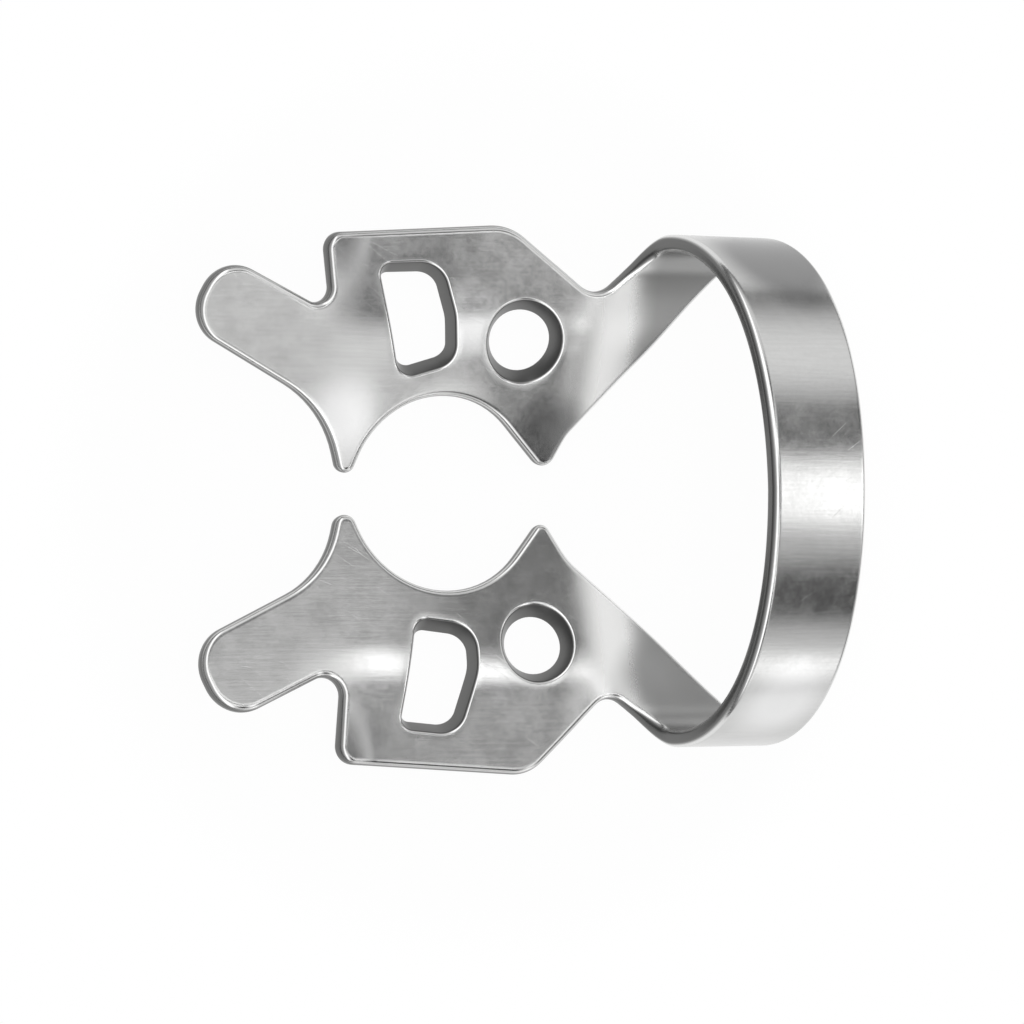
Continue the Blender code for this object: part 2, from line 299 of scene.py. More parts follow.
def offsetOutline(outline, distance):
    moved = []
    for i, point in enumerate(outline):
        ahead = (outline[(i + 1) % len(outline)] - point).normalized()
        behind = (point - outline[i - 1]).normalized()
        left = Vector((-(ahead.y + behind.y), ahead.x + behind.x)).normalized()
        square = Vector((-ahead.y, ahead.x))
        moved.append(point + left * (distance / max(clamp["mitreLimit"], left.dot(square))))
    return moved


def insideOutline(places, outline):
    loop = np.array([tuple(point) for point in outline])
    within = np.zeros(len(places), bool)
    for a, b in zip(loop, np.roll(loop, 1, axis=0)):
        if a[1] != b[1]:
            crosses = (a[1] > places[:, 1]) != (b[1] > places[:, 1])
            within ^= crosses & (places[:, 0] < a[0] + (b[0] - a[0]) * (places[:, 1] - a[1]) / (b[1] - a[1]))
    return within


def onSteel(places, loops):
    within = insideOutline(places, loops[0])
    for hole in loops[1:]:
        within &= ~insideOutline(places, hole)
    return within


def gridPlaces(loops):
    step = clamp["gridStep"]
    outer = np.array([tuple(point) for point in loops[0]])
    low, high = outer.min(axis=0), outer.max(axis=0)
    rowStep = step * math.sqrt(0.75)      # rows of equal triangles
    rows = int((high[1] - low[1]) / rowStep)
    columns = int((high[0] - low[0]) / step)
    places = np.array([(low[0] + step * (column + row % 2 / 2), low[1] + rowStep * row)
                       for row in range(rows) for column in range(columns)])
    places = places[onSteel(places, loops)]
    edge = np.array([tuple(point) for loop in loops for point in loop])
    clear = np.full(len(places), np.inf)
    for point in edge:
        clear = np.minimum(clear, ((places - point) ** 2).sum(axis=1))
    return places[clear > clamp["gridClearance"] ** 2]


def rimProfile(inset, depth):      # (in from the edge, height, how far round the rim), top face to bottom
    turns = [math.pi / 2 * i / clamp["rimSteps"] for i in range(clamp["rimSteps"] + 1)]
    top = [(inset * (1 - math.sin(a)), clamp["sheet"] / 2 - depth * (1 - math.cos(a)), math.sin(a))
           for a in turns]
    return top + [(far, -height, around) for far, height, around in reversed(top)]


def makeBlank():
    edges = blankOutlines()
    loops = [offsetOutline(outline, side * clamp["band"]) for outline, side, _, _ in edges]
    points = [point for loop in loops for point in loop]
    segments, start = [], 0
    for loop in loops:
        segments += [(start + i, start + (i + 1) % len(loop)) for i in range(len(loop))]
        start += len(loop)
    points += [Vector(place) for place in gridPlaces(loops)]
    filled, _, triangles, origins, _, _ = delaunay_2d_cdt(points, segments, [], 0, clamp["merge"])
    flat = np.array([tuple(point) for point in filled])
    corners = flat[np.array(triangles)]
    sides = corners[:, 1:] - corners[:, :1]
    area = np.abs(sides[:, 0, 0] * sides[:, 1, 1] - sides[:, 0, 1] * sides[:, 1, 0])
    kept = (area > clamp["sliver"]) & onSteel(corners.mean(axis=1), loops)

    blank = bmesh.new()
    rim = blank.verts.layers.float.new("rim")
    top = [blank.verts.new((x, y, clamp["sheet"] / 2)) for x, y in flat]
    bottom = [blank.verts.new((x, y, -clamp["sheet"] / 2)) for x, y in flat]
    for a, b, c in (triangles[i] for i in np.flatnonzero(kept)):
        blank.faces.new((top[a], top[b], top[c]))
        blank.faces.new((bottom[c], bottom[b], bottom[a]))
    place = {source: i for i, sources in enumerate(origins) for source in sources}
    start = 0
    for (outline, side, taper, rounding), loop in zip(edges, loops):
        own = [place[start + i] for i in range(len(loop))]
        start += len(loop)
        rings = [[top[i] for i in own]]
        outwards = offsetOutline(outline, 1.0)
        for inset, height, around in rimProfile(*rounding):
            depth = (clamp["sheet"] / 2 - height) / clamp["sheet"]
            ring = []
            for point, moved, left in zip(outline, offsetOutline(outline, side * inset), outwards):
                x, y = moved + (left - point).normalized() * Vector(taper) * depth
                ring.append(blank.verts.new((x, y, height)))
                ring[-1][rim] = around
            rings.append(ring)
        rings.append([bottom[i] for i in own])
        for ring, nextRing in zip(rings, rings[1:]):
            for i in range(len(ring)):
                blank.faces.new((ring[i - 1], ring[i], nextRing[i], nextRing[i - 1]))
    loose = [vert for vert in blank.verts if not vert.link_faces]
    bmesh.ops.delete(blank, geom=loose, context="VERTS")
    bmesh.ops.recalc_face_normals(blank, faces=blank.faces)
    sheetPlace = blank.verts.layers.float_vector.new("sheetPlace")
    for vert in blank.verts:
        vert[sheetPlace] = vert.co
    mesh = bpy.data.meshes.new("clampBlank")
    blank.to_mesh(mesh)
    blank.free()
    item = bpy.data.objects.new("clampSteel", mesh)
    bpy.context.collection.objects.link(item)
    print("blank drawn,", len(mesh.polygons), "faces")
    return item


# Node helpers, for geometry and shader trees alike
def addNode(tree, kind, inputs=None, **settings):
    node = tree.nodes.new(kind)
    for name, value in settings.items():
        setattr(node, name, value)
    for key, value in (inputs or {}).items():
        feed(tree, node.inputs[key], value)
    return node


def feed(tree, socket, value):
    if isinstance(value, bpy.types.NodeSocket):
        tree.links.new(value, socket)
    else:
        socket.default_value = value


def calc(tree, operation, *values):
    return addNode(tree, "ShaderNodeMath", dict(enumerate(values)), operation=operation).outputs[0]


def vectorCalc(tree, operation, *values):
    node = addNode(tree, "ShaderNodeVectorMath", dict(enumerate(values)), operation=operation)
    return node.outputs["Vector"]


def eased(tree, value, low, high, start=0.0, end=1.0):
    inputs = {"Value": value, "From Min": low, "From Max": high, "To Min": start, "To Max": end}
    return addNode(tree, "ShaderNodeMapRange", inputs, interpolation_type="SMOOTHSTEP").outputs["Result"]


def newTree(name, kind, inputs, outputs):
    tree = bpy.data.node_groups.new(name, kind)
    for label, socketType in inputs.items():
        tree.interface.new_socket(name=label, in_out="INPUT", socket_type=socketType)
    for label, socketType in outputs.items():
        tree.interface.new_socket(name=label, in_out="OUTPUT", socket_type=socketType)
    return tree, addNode(tree, "NodeGroupInput").outputs, addNode(tree, "NodeGroupOutput").inputs


def creaseTree():             # a straight run that turns by an angle at one place
    sizes = {name: "NodeSocketFloat" for name in ("Distance", "Place", "Radius", "Angle")}
    tree, given, result = newTree("Crease", "GeometryNodeTree", sizes,
                                  {name: "NodeSocketFloat" for name in ("Far", "Drop", "Turn")})
    length = calc(tree, "MULTIPLY", given["Radius"], given["Angle"])
    start = calc(tree, "SUBTRACT", given["Place"], calc(tree, "DIVIDE", length, 2.0))
    past = calc(tree, "SUBTRACT", given["Distance"], start)
    turn = calc(tree, "MAXIMUM", calc(tree, "MINIMUM", calc(tree, "DIVIDE", past, given["Radius"]),
                                      given["Angle"]), 0.0)
    rest = calc(tree, "MAXIMUM", calc(tree, "SUBTRACT", past, length), 0.0)
    before = calc(tree, "MINIMUM", given["Distance"], start)
    curved = calc(tree, "MULTIPLY", given["Radius"], calc(tree, "SINE", turn))
    straight = calc(tree, "MULTIPLY", rest, calc(tree, "COSINE", given["Angle"]))
    far = calc(tree, "ADD", before, calc(tree, "ADD", curved, straight))
    sunk = calc(tree, "MULTIPLY", given["Radius"], calc(tree, "SUBTRACT", 1.0, calc(tree, "COSINE", turn)))
    drop = calc(tree, "ADD", sunk, calc(tree, "MULTIPLY", rest, calc(tree, "SINE", given["Angle"])))
    feed(tree, result["Far"], far)
    feed(tree, result["Drop"], drop)
    feed(tree, result["Turn"], turn)
    return tree


def sheetMiddleTree(crease):  # where the press puts a point of the flat blank's middle
    inputs = {"Bow Path": "NodeSocketGeometry", "Place": "NodeSocketVector", "Top Reach": "NodeSocketFloat"}
    inputs.update({name: "NodeSocketFloat" for name in press})
    tree, given, result = newTree("Sheet Middle", "GeometryNodeTree", inputs, {"Middle": "NodeSocketVector"})
    place = addNode(tree, "ShaderNodeSeparateXYZ", {0: given["Place"]}).outputs
    x, y = place["X"], place["Y"]
    isUpper = calc(tree, "LESS_THAN", y, 0.0)
    side = calc(tree, "SUBTRACT", calc(tree, "MULTIPLY", isUpper, 2.0), 1.0)
    reach = calc(tree, "SUBTRACT", given["Top Reach"], calc(tree, "ABSOLUTE", y))

    def ofJaw(upperValue, lowerValue):
        inputs = {"Factor": isUpper, "A": lowerValue, "B": upperValue}
        return addNode(tree, "ShaderNodeMix", inputs, data_type="FLOAT").outputs["Result"]

    arm = addNode(tree, "GeometryNodeGroup", node_tree=crease)
    wing = addNode(tree, "GeometryNodeGroup", node_tree=crease)
    for node, distance, name, angle in (
            (arm, calc(tree, "MAXIMUM", x, 0.0), "Arm Crease", "Bow Lean"),
            (wing, calc(tree, "MAXIMUM", calc(tree, "MULTIPLY", x, -1.0), 0.0), "Wing Crease", "Wing Rise")):
        feed(tree, node.inputs["Distance"], distance)
        feed(tree, node.inputs["Place"], given[name])
        feed(tree, node.inputs["Radius"], given[name + " Radius"])
        feed(tree, node.inputs["Angle"], given[angle])
    far = calc(tree, "SUBTRACT", arm.outputs["Far"], wing.outputs["Far"])
    height = calc(tree, "SUBTRACT", wing.outputs["Drop"], arm.outputs["Drop"])
    turn = calc(tree, "ADD", arm.outputs["Turn"], wing.outputs["Turn"])

    fold = ofJaw(given["Upper Fold"], given["Lower Fold"])
    width = given["Fold Half Width"]
    over = calc(tree, "SUBTRACT", reach, fold)
    bend = calc(tree, "MAXIMUM", calc(tree, "MINIMUM", calc(tree, "ADD", over, width),
                                      calc(tree, "MULTIPLY", width, 2.0)), 0.0)
    bendHeight = calc(tree, "DIVIDE", calc(tree, "MULTIPLY", bend, bend), calc(tree, "MULTIPLY", width, 4.0))
    beyond = calc(tree, "MAXIMUM", calc(tree, "SUBTRACT", over, width), 0.0)
    level = eased(tree, x, given["Slope Ends"], given["Level Begins"])
    flattened = calc(tree, "MULTIPLY", level, calc(tree, "ADD", bendHeight, beyond))
    sloped = calc(tree, "SUBTRACT", over, flattened)
    drop = eased(tree, x, given["Front Prong X"], given["Rear Prong X"],
                 ofJaw(given["Upper Front Drop"], given["Lower Front Drop"]), given["Rear Drop"])
    slope = calc(tree, "DIVIDE", drop, calc(tree, "SUBTRACT", fold, given["Prong Reach"]))
    foldHeight = calc(tree, "MULTIPLY", sloped, slope)

    onPath = addNode(tree, "GeometryNodeSampleCurve", {"Curves": given["Bow Path"], "Length": reach},
                     mode="LENGTH")
    path = addNode(tree, "ShaderNodeSeparateXYZ", {0: onPath.outputs["Position"]}).outputs
    begins = ofJaw(given["Upper Curl Begins"], given["Lower Curl Begins"])
    halfFade = calc(tree, "DIVIDE", given["Curl Fade"], 2.0)
    curled = eased(tree, x, calc(tree, "SUBTRACT", begins, halfFade), calc(tree, "ADD", begins, halfFade))
    inwards = calc(tree, "MULTIPLY", curled, calc(tree, "SUBTRACT", path["Y"], reach))
    across = calc(tree, "ADD", reach, inwards)
    lift = calc(tree, "ADD", calc(tree, "MULTIPLY", curled, path["Z"]), foldHeight)
    shift = calc(tree, "MULTIPLY", given["Bow Shift"], eased(tree, x, 0.0, given["Bow Shift Run"]))

    middle = addNode(tree, "ShaderNodeCombineXYZ", {
        "X": calc(tree, "ADD", far, calc(tree, "MULTIPLY", lift, calc(tree, "SINE", turn))),
        "Y": calc(tree, "ADD", calc(tree, "MULTIPLY", side, across), shift),
        "Z": calc(tree, "ADD", height, calc(tree, "MULTIPLY", lift, calc(tree, "COSINE", turn)))})
    feed(tree, result["Middle"], middle.outputs["Vector"])
    return tree


def pressTree():
    inputs = {"Geometry": "NodeSocketGeometry", "Bow Path": "NodeSocketObject", "Steel": "NodeSocketMaterial",
              "Top Reach": "NodeSocketFloat", "Sample": "NodeSocketFloat", "Scale": "NodeSocketFloat",
              "Waviness": "NodeSocketFloat", "Wave Scale": "NodeSocketFloat", "Seed": "NodeSocketFloat"}
    inputs.update({name: "NodeSocketFloat" for name in press})
    tree, given, result = newTree("Press", "GeometryNodeTree", inputs, {"Geometry": "NodeSocketGeometry"})
    pathInfo = addNode(tree, "GeometryNodeObjectInfo", {"Object": given["Bow Path"]})
    middleTree = sheetMiddleTree(creaseTree())
    place = addNode(tree, "GeometryNodeInputPosition").outputs["Position"]
    split = addNode(tree, "ShaderNodeSeparateXYZ", {0: place}).outputs

    def middleAt(stepX, stepY):
        node = addNode(tree, "GeometryNodeGroup", node_tree=middleTree)
        step = addNode(tree, "ShaderNodeCombineXYZ", {
            "X": calc(tree, "MULTIPLY", given["Sample"], float(stepX)),
            "Y": calc(tree, "MULTIPLY", given["Sample"], float(stepY))})
        feed(tree, node.inputs["Bow Path"], pathInfo.outputs["Geometry"])
        feed(tree, node.inputs["Place"], vectorCalc(tree, "ADD", place, step.outputs["Vector"]))
        feed(tree, node.inputs["Top Reach"], given["Top Reach"])
        for name in press:
            feed(tree, node.inputs[name], given[name])
        return node.outputs["Middle"]

    along = vectorCalc(tree, "SUBTRACT", middleAt(1, 0), middleAt(-1, 0))
    across = vectorCalc(tree, "SUBTRACT", middleAt(0, 1), middleAt(0, -1))
    normal = vectorCalc(tree, "NORMALIZE", vectorCalc(tree, "CROSS_PRODUCT", along, across))
    flatPlace = addNode(tree, "ShaderNodeCombineXYZ", {"X": split["X"], "Y": split["Y"]}).outputs["Vector"]
    wave = addNode(tree, "ShaderNodeTexNoise", {"Vector": flatPlace, "W": given["Seed"], "Detail": 1.0,
                                                "Scale": given["Wave Scale"]}, noise_dimensions="4D")
    waveHeight = calc(tree, "MULTIPLY", calc(tree, "SUBTRACT", wave.outputs[0], 0.5), given["Waviness"])
    offset = addNode(tree, "ShaderNodeVectorMath", {0: normal}, operation="SCALE")
    feed(tree, offset.inputs["Scale"], calc(tree, "ADD", split["Z"], waveHeight))
    pressed = vectorCalc(tree, "ADD", middleAt(0, 0), offset.outputs["Vector"])
    scaled = addNode(tree, "ShaderNodeVectorMath", {0: pressed}, operation="SCALE")
    feed(tree, scaled.inputs["Scale"], given["Scale"])
    moved = addNode(tree, "GeometryNodeSetPosition",
                    {"Geometry": given["Geometry"], "Position": scaled.outputs["Vector"]})
    smooth = addNode(tree, "GeometryNodeSetShadeSmooth", {"Geometry": moved.outputs["Geometry"]})
    real = addNode(tree, "GeometryNodeRealizeInstances", {"Geometry": smooth.outputs["Geometry"]})
    steel = addNode(tree, "GeometryNodeSetMaterial",
                    {"Geometry": real.outputs["Geometry"], "Material": given["Steel"]})
    feed(tree, result["Geometry"], steel.outputs["Geometry"])
    return tree


# How the press is run: the step that normals are sampled with, and the unevenness of the sheet
pressRun = {"sample": 0.02, "waviness": 0.022, "waveScale": 0.22, "seed": 4.0}


def makeBowPath():
    data = bpy.data.curves.new("bowPath", "CURVE")
    data.dimensions = "3D"
    spline = data.splines.new("POLY")
    spline.points.add(len(bowPath) - 1)
    for point, place in zip(spline.points, bowPath):
        point.co = (*place, 1)
    item = bpy.data.objects.new("bowPath", data)
    bpy.context.collection.objects.link(item)
    return item


def pressedClamp(blank, steel):
    path = makeBowPath()
    modifier = blank.modifiers.new("press", "NODES")
    modifier.node_group = pressTree()
    values = {"Bow Path": path, "Steel": steel, "Top Reach": topReach, "Sample": pressRun["sample"],
              "Scale": mm, "Waviness": pressRun["waviness"], "Wave Scale": pressRun["waveScale"],
              "Seed": pressRun["seed"], **press}
    for socket in modifier.node_group.interface.items_tree:
        if socket.in_out == "INPUT" and socket.name in values:
            modifier[socket.identifier] = values[socket.name]
    depsgraph = bpy.context.evaluated_depsgraph_get()
    mesh = bpy.data.meshes.new_from_object(blank.evaluated_get(depsgraph), preserve_all_data_layers=True,
                                           depsgraph=depsgraph)
    mesh.name = "clampSteel"
    blank.modifiers.clear()
    blank.data = mesh
    bpy.data.objects.remove(path)
    places = np.empty(len(mesh.vertices) * 3)
    mesh.vertices.foreach_get("co", places)
    places = places.reshape(-1, 3)
    low, high = (np.array(corner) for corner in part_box("clamp_body"))
    shift = (low + high) / 2 - (places.min(axis=0) + places.max(axis=0)) / 2
    shift[2] = low[2] - places[:, 2].min()
    mesh.vertices.foreach_set("co", (places + shift).ravel())
    mesh.update()
    print("sheet pressed,", len(mesh.vertices), "points")
    return blank


# Fine scratches: thin bent lines along one direction, broken up by noise
scratchShape = {
    "bend": {"Scale": 0.25, "Detail": 1.0},
    "bendBy": 0.8,
    "stretch": 0.12,
    "gaps": {"Scale": 0.5, "Detail": 2.0},
    "shownFrom": (0.52, 0.64),
}


def scratchTree(spec):
    inputs = {"Place": "NodeSocketVector", "Spread": "NodeSocketFloat", "Width": "NodeSocketFloat",
              "Turn": "NodeSocketFloat", "Amount": "NodeSocketFloat"}
    tree, given, result = newTree("Fine Scratches", "ShaderNodeTree", inputs, {"Lines": "NodeSocketFloat"})
    bend = addNode(tree, "ShaderNodeTexNoise", {"Vector": given["Place"], **spec["bend"]})
    bent = addNode(tree, "ShaderNodeVectorMath", {0: bend.outputs["Color"], "Scale": spec["bendBy"]},
                   operation="SCALE")
    place = vectorCalc(tree, "ADD", given["Place"], bent.outputs["Vector"])
    turned = addNode(tree, "ShaderNodeVectorRotate", {"Vector": place, "Angle": given["Turn"]},
                     rotation_type="Z_AXIS")
    split = addNode(tree, "ShaderNodeSeparateXYZ", {0: turned.outputs["Vector"]}).outputs
    long = addNode(tree, "ShaderNodeCombineXYZ", {"X": calc(tree, "MULTIPLY", split["X"], spec["stretch"]),
                                                  "Y": split["Y"]}).outputs["Vector"]
    cells = addNode(tree, "ShaderNodeTexVoronoi", {"Vector": long, "Scale": given["Spread"]},
                    feature="DISTANCE_TO_EDGE")
    line = eased(tree, cells.outputs["Distance"], 0.0, given["Width"], 1.0, 0.0)
    gaps = addNode(tree, "ShaderNodeTexNoise", {"Vector": place, **spec["gaps"]}).outputs[0]
    shown = eased(tree, gaps, *spec["shownFrom"])
    feed(tree, result["Lines"], calc(tree, "MULTIPLY", calc(tree, "MULTIPLY", line, shown), given["Amount"]))
    return tree


# Tumbled and brushed spring steel. Scales are per millimetre of sheet, and heights are millimetres.
# The tones and spots were placed one by one: they lighten and darken the steel where the photograph's greys
# ask for it, and aren't features of the clamp.
steelFinish = {
    "colourLow": (0.56, 0.56, 0.555, 1),
    "colourHigh": (0.615, 0.615, 0.61, 1),
    "polishedColour": (0.84, 0.84, 0.835, 1),
    # The walls' dark colour is partly their sheared steel's own and partly painted shade.
    "shearedWallPaintedShadeColour": (0.16, 0.16, 0.158, 1),
    "jawReach": (12.5, 14.0),      # from the top of the bow, where the bow's painted tone ends and the jaws' painted tones start
    # The tones are painted light in the steel's colour: painted highlights on the crease and inside of the
    # bow, and painted shade on the arms.
    "tones": {                     # places along the clamp where they begin and end, on the face that was up
        "burnished crease": {"from": (3.0, 4.6), "to": (5.4, 6.8), "onJaws": True,
                             "colour": (0.95, 0.95, 0.945, 1), "rough": 0.28},
        "dull arms": {"from": (5.6, 7.2), "to": (20.0, 21.0), "onJaws": True,
                      "colour": (0.37, 0.37, 0.367, 1), "rough": 0.40},
        "bright inside of the bow": {"from": (4.0, 5.0), "to": (20.0, 21.0), "onJaws": False,
                                     "colour": (0.94, 0.94, 0.935, 1), "rough": 0.20},
    },
    # The spots are painted light in the steel's colour: those of shade 0.82 and 0.90 are painted highlights,
    # those of 0.27 and 0.38 painted shade.
    "spots": {                     # place on the blank, how far it reaches, how fast it fades, amount, shade
        "upper ridge": ((-2.3, -19.9, 0.4), 0.3, 2.2, 1.0, 0.90),
        "upper front prong": ((-8.2, -24.2, 0.4), 0.5, 2.2, 0.9, 0.90),
        "before the upper window": ((-7.2, -18.4, 0.4), 0.4, 2.4, 0.8, 0.38),
        "upper wing's front": ((-8.3, -16.4, 0.4), 0.6, 2.0, 0.7, 0.38),
        "outside the upper window": ((-4.6, -16.2, 0.4), 0.8, 2.6, 0.6, 0.38),
        "upper rear prong": ((2.1, -24.9, 0.4), 0.9, 1.6, 0.9, 0.27),
        "lower ridge": ((-0.9, 19.4, 0.4), 0.3, 1.6, 0.5, 0.90),
        "before the lower window": ((-6.5, 19.5, 0.4), 0.2, 1.6, 0.5, 0.90),
        "outside of the upper foot": ((9.9, -11.6, -0.4), 1.9, 2.0, 1.0, 0.27),
        "outside of the lower foot": ((9.4, 10.0, -0.4), 0.8, 2.2, 0.9, 0.82),
        "lower wing's front": ((-8.0, 16.3, 0.4), 0.8, 2.0, 0.8, 0.38),
        "lower arm": ((6.4, 19.1, 0.4), 0.3, 1.8, 0.8, 0.38),
    },
    "mottle": {"Scale": 0.9, "Detail": 5.0, "Roughness": 0.6},
    "speckle": {"Scale": 6.0, "Detail": 3.0},
    "grain": {"Scale": 1.6, "Detail": 4.0, "Roughness": 0.65},
    "grainStretch": (0.25, 5.0, 5.0),
    "colourSpread": (0.3, 0.7),    # of the mottle and of the grain, each of which gives half of the blend
    "roughLow": 0.18,
    "roughHigh": 0.225,
    "roughSpread": (0.35, 0.65),
    "roughShares": (0.6, 0.4),     # of the mottle and of the speckle
    "polishedRim": (0.0, 0.45),    # how far round the rim it comes in, from 0 at the face to 1 at the wall
    "polishedAmount": 0.6,
    "polishedRough": 0.14,
    "shearedRim": (0.60, 0.95),
    "shearedRough": 0.30,
    "grainHeight": 0.0012,
    "speckleHeight": 0.0009,
    "scratchHeight": 0.0015,
    "scratches": [                 # Turn is in radians
        {"Spread": 1.1, "Width": 0.010, "Turn": 0.6, "Amount": 0.5},
    ],
}


def steelMaterial(spec):
    material = bpy.data.materials.new("springSteel")
    material.use_nodes = True
    tree = material.node_tree
    shader = tree.nodes["Principled BSDF"]
    shader.inputs["Metallic"].default_value = 1.0
    place = addNode(tree, "ShaderNodeAttribute", attribute_name="sheetPlace").outputs["Vector"]
    rim = addNode(tree, "ShaderNodeAttribute", attribute_name="rim").outputs["Fac"]
    stretched = addNode(tree, "ShaderNodeMapping", {"Vector": place, "Scale": spec["grainStretch"]})
    mottle, speckle, grain = (
        addNode(tree, "ShaderNodeTexNoise", {"Vector": vector, **spec[name]}).outputs[0]
        for name, vector in (("mottle", place), ("speckle", place), ("grain", stretched.outputs["Vector"])))
    scratchGroup = scratchTree(scratchShape)
    scratches = 0.0
    for values in spec["scratches"]:
        node = addNode(tree, "ShaderNodeGroup", node_tree=scratchGroup)
        for name, value in {"Place": place, **values}.items():
            feed(tree, node.inputs[name], value)
        scratches = calc(tree, "MAXIMUM", node.outputs["Lines"], scratches)

    def mixed(dataType, factor, a, b):      # sockets 2 and 3 are numbers, 6 and 7 colours
        node = addNode(tree, "ShaderNodeMix", {"Factor": factor}, data_type=dataType)
        first = 2 if dataType == "FLOAT" else 6
        feed(tree, node.inputs[first], a)
        feed(tree, node.inputs[first + 1], b)
        return node.outputs[0 if dataType == "FLOAT" else 2]

    polished = calc(tree, "MULTIPLY", eased(tree, rim, *spec["polishedRim"]), spec["polishedAmount"])
    shearedWallAndShade = eased(tree, rim, *spec["shearedRim"])
    blend = calc(tree, "ADD", calc(tree, "MULTIPLY", eased(tree, mottle, *spec["colourSpread"]), 0.5),
                 calc(tree, "MULTIPLY", eased(tree, grain, *spec["colourSpread"]), 0.5))
    colour = mixed("RGBA", blend, spec["colourLow"], spec["colourHigh"])
    mottleShare, speckleShare = spec["roughShares"]
    uneven = calc(tree, "ADD", calc(tree, "MULTIPLY", mottle, mottleShare),
                  calc(tree, "MULTIPLY", speckle, speckleShare))
    rough = eased(tree, uneven, *spec["roughSpread"], spec["roughLow"], spec["roughHigh"])
    x, y, z = addNode(tree, "ShaderNodeSeparateXYZ", {"Vector": place}).outputs
    onJaws = eased(tree, calc(tree, "ABSOLUTE", y), *spec["jawReach"])
    onTop = calc(tree, "GREATER_THAN", z, 0.0)
    # The tones paint their highlights and shade into the colour of the face that was up.
    for tone in spec["tones"].values():
        side = onJaws if tone["onJaws"] else calc(tree, "SUBTRACT", 1.0, onJaws)
        along = calc(tree, "MULTIPLY", eased(tree, x, *tone["from"]), eased(tree, x, *tone["to"], 1.0, 0.0))
        mask = calc(tree, "MULTIPLY", calc(tree, "MULTIPLY", side, onTop), along)
        colour = mixed("RGBA", mask, colour, tone["colour"])
        rough = mixed("FLOAT", mask, rough, tone["rough"])
    # The spots paint their highlights and shade into the colour.
    for at, reach, fade, amount, shade in spec["spots"].values():
        away = addNode(tree, "ShaderNodeVectorMath", {0: place, 1: at}, operation="DISTANCE").outputs["Value"]
        mask = eased(tree, away, reach, reach + fade, amount, 0.0)
        colour = mixed("RGBA", mask, colour, (shade, shade, shade, 1))
    colour = mixed("RGBA", polished, colour, spec["polishedColour"])
    # The walls get their sheared colour with painted shade in it.
    feed(tree, shader.inputs["Base Color"], mixed("RGBA", shearedWallAndShade, colour, spec["shearedWallPaintedShadeColour"]))

    rough = mixed("FLOAT", polished, rough, spec["polishedRough"])
    feed(tree, shader.inputs["Roughness"], mixed("FLOAT", shearedWallAndShade, rough, spec["shearedRough"]))

    height = calc(tree, "MULTIPLY", grain, spec["grainHeight"])
    height = calc(tree, "ADD", height, calc(tree, "MULTIPLY", speckle, spec["speckleHeight"]))
    height = calc(tree, "SUBTRACT", height, calc(tree, "MULTIPLY", scratches, spec["scratchHeight"]))
    bump = addNode(tree, "ShaderNodeBump", {"Strength": 1.0, "Distance": mm, "Height": height})
    feed(tree, shader.inputs["Normal"], bump.outputs["Normal"])
    print("steel mixed")
    return material


# Studio: a plain dome with soft boxes and dark gaps, placed by where they are seen from the clamp.
# The first pair is the angle from straight up towards the bow and the second the angle out to the upper
# jaw's side, each as (middle, half width). The third is the fade round both, and the level is added to
# the dome. Both angles and levels were fitted to the photograph's greys.
studio = {
    "dome": 0.80,
    "darkest": 0.03,
    "patches": {
        "strip over the bow": ((57, 9), (0.5, 3), (4.5, 5.5), 2.03),
        "gap above the strip": ((58.5, 8), (13, 4.5), (4, 6.5), -0.76),
        "upper box": ((66.5, 12), (40, 11), (7.5, 6.5), 0.31),
        "gap below the strip": ((56.5, 6.5), (-23, 4.5), (6, 8.5), -0.79),
        "lower box": ((91, 22), (-60.5, 14.5), (9.5, 9.5), 2.19),
        "upper crease light": ((34.5, 3.5), (-18, 11.5), (3.5, 3), 1.46),
        "middle crease light": ((33, 4.5), (1, 9.5), (3, 3.5), 1.48),
        "lower crease light": ((37, 8.5), (14, 5), (4, 3), 0.56),
        "arm gap": ((40, 6), (2.5, 7), (4.5, 8.5), -1.19),
        "upper fold light": ((16.5, 5.5), (-13, 8.5), (4.5, 4), 1.10),
        "lower fold light": ((16.5, 4), (10.5, 3), (3, 3), 1.64),
        "flat grey": ((26.5, 15), (-6, 11), (7.5, 3.5), -0.76),
        "upper prong gap": ((26.5, 9), (-35.5, 11.5), (3, 6.5), -1.04),
        "lower prong gap": ((25, 11.5), (25.5, 8), (6, 3.5), -0.61),
        "lamp by the camera": ((-9, 10), (0, 60), (7.5, 20), 0.79),
        "room behind": ((-60.5, 21), (0, 90), (13.5, 5), -0.40),
    },
    "white": (1, 1, 1, 1),
    "horizonLow": 2.0,
    "horizonHigh": 24.0,
    "horizonLevel": 0.25,
    "floorSize": 1.6,              # metres
    "floorColour": (0.90, 0.90, 0.90, 1),
    "floorShown": 0.965,           # how plainly eyes see the floor under the clamp, where its shadow is
    "shadowEnds": (0.018, 0.022),  # metres from the middle, past which the floor is plain
}


def windowMask(tree, value, centre, half, soft):
    away = calc(tree, "ABSOLUTE", calc(tree, "SUBTRACT", value, float(centre)))
    return eased(tree, away, float(half), float(half + soft), 1.0, 0.0)


def rayKinds(tree):           # camera and glass rays, which are the eyes', and mirror rays
    path = addNode(tree, "ShaderNodeLightPath").outputs
    eyes = calc(tree, "MAXIMUM", path["Is Camera Ray"], path["Is Transmission Ray"])
    return eyes, path["Is Glossy Ray"]


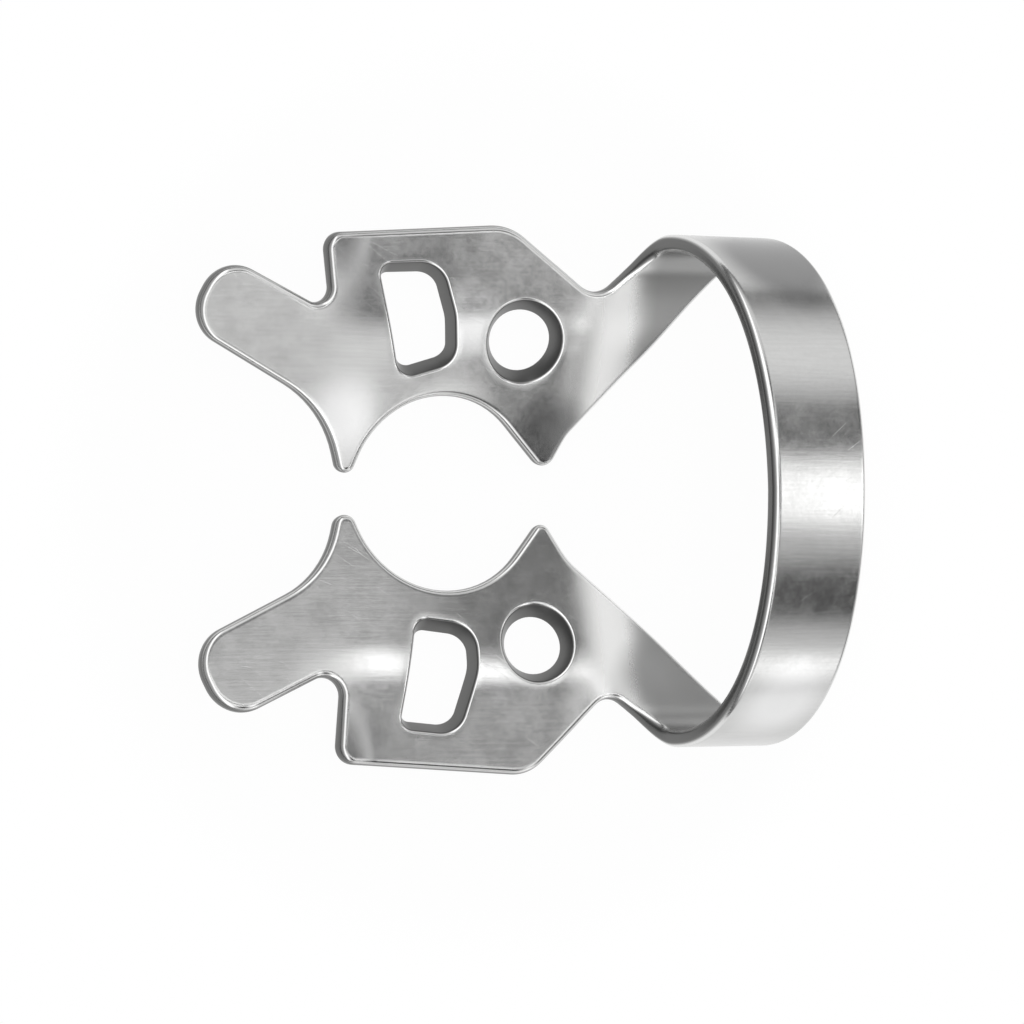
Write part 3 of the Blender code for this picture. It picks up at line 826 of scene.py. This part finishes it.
def makeWorld(spec):
    world = bpy.data.worlds.new("studioWorld")
    bpy.context.scene.world = world
    world.use_nodes = True
    tree = world.node_tree
    tree.nodes.clear()
    towards = addNode(tree, "ShaderNodeTexCoord").outputs["Generated"]
    split = addNode(tree, "ShaderNodeSeparateXYZ", {0: vectorCalc(tree, "NORMALIZE", towards)}).outputs
    degrees = 180 / math.pi
    along = calc(tree, "MULTIPLY", calc(tree, "ARCTAN2", split["X"], split["Z"]), degrees)
    across = calc(tree, "MULTIPLY", calc(tree, "ARCSINE", split["Y"]), degrees)
    above = calc(tree, "MULTIPLY", calc(tree, "ARCSINE", split["Z"]), degrees)
    level = spec["dome"]
    for alongWindow, acrossWindow, soft, added in spec["patches"].values():
        mask = calc(tree, "MULTIPLY", windowMask(tree, along, *alongWindow, soft[0]),
                    windowMask(tree, across, *acrossWindow, soft[1]))
        level = calc(tree, "ADD", calc(tree, "MULTIPLY", mask, added), level)
    horizon = eased(tree, above, spec["horizonLow"], spec["horizonHigh"], spec["horizonLevel"], 1.0)
    level = calc(tree, "MAXIMUM", calc(tree, "MULTIPLY", level, horizon), spec["darkest"])
    lit = addNode(tree, "ShaderNodeBackground", {"Strength": level, "Color": spec["white"]})
    white = addNode(tree, "ShaderNodeBackground", {"Strength": 1.0, "Color": spec["white"]})
    eyes, _ = rayKinds(tree)      # mirror rays see the soft boxes
    mix = addNode(tree, "ShaderNodeMixShader", {0: eyes, 1: lit.outputs[0], 2: white.outputs[0]})
    addNode(tree, "ShaderNodeOutputWorld", {"Surface": mix.outputs[0]})


def makeFloor(spec):
    material = bpy.data.materials.new("paleFloor")
    material.use_nodes = True
    tree = material.node_tree
    tree.nodes.clear()
    matt = addNode(tree, "ShaderNodeBsdfDiffuse", {"Color": spec["floorColour"]})
    white = addNode(tree, "ShaderNodeEmission", {"Strength": 1.0, "Color": spec["white"]})
    eyes, mirrored = rayKinds(tree)
    place = addNode(tree, "ShaderNodeTexCoord").outputs["Object"]
    far = addNode(tree, "ShaderNodeVectorMath", {0: place}, operation="LENGTH").outputs["Value"]
    plain = eased(tree, far, *spec["shadowEnds"], spec["floorShown"], 1.0)
    shown = calc(tree, "MAXIMUM", calc(tree, "MULTIPLY", eyes, plain), mirrored)
    mix = addNode(tree, "ShaderNodeMixShader", {0: shown, 1: matt.outputs[0], 2: white.outputs[0]})
    addNode(tree, "ShaderNodeOutputMaterial", {"Surface": mix.outputs[0]})
    half = spec["floorSize"] / 2
    mesh = bpy.data.meshes.new("paleFloor")
    corners = [(-half, -half, 0), (half, -half, 0), (half, half, 0), (-half, half, 0)]
    mesh.from_pydata(corners, [], [(0, 1, 2, 3)])
    mesh.materials.append(material)
    floor = bpy.data.objects.new("paleFloor", mesh)
    bpy.context.collection.objects.link(floor)


scene = bpy.context.scene
scene.view_settings.view_transform = "Standard"
makeWorld(studio)
makeFloor(studio)
print("studio lit")

steel = steelMaterial(steelFinish)
clampSteel = pressedClamp(makeBlank(), steel)
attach(clampSteel, "root")
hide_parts("clamp_body")
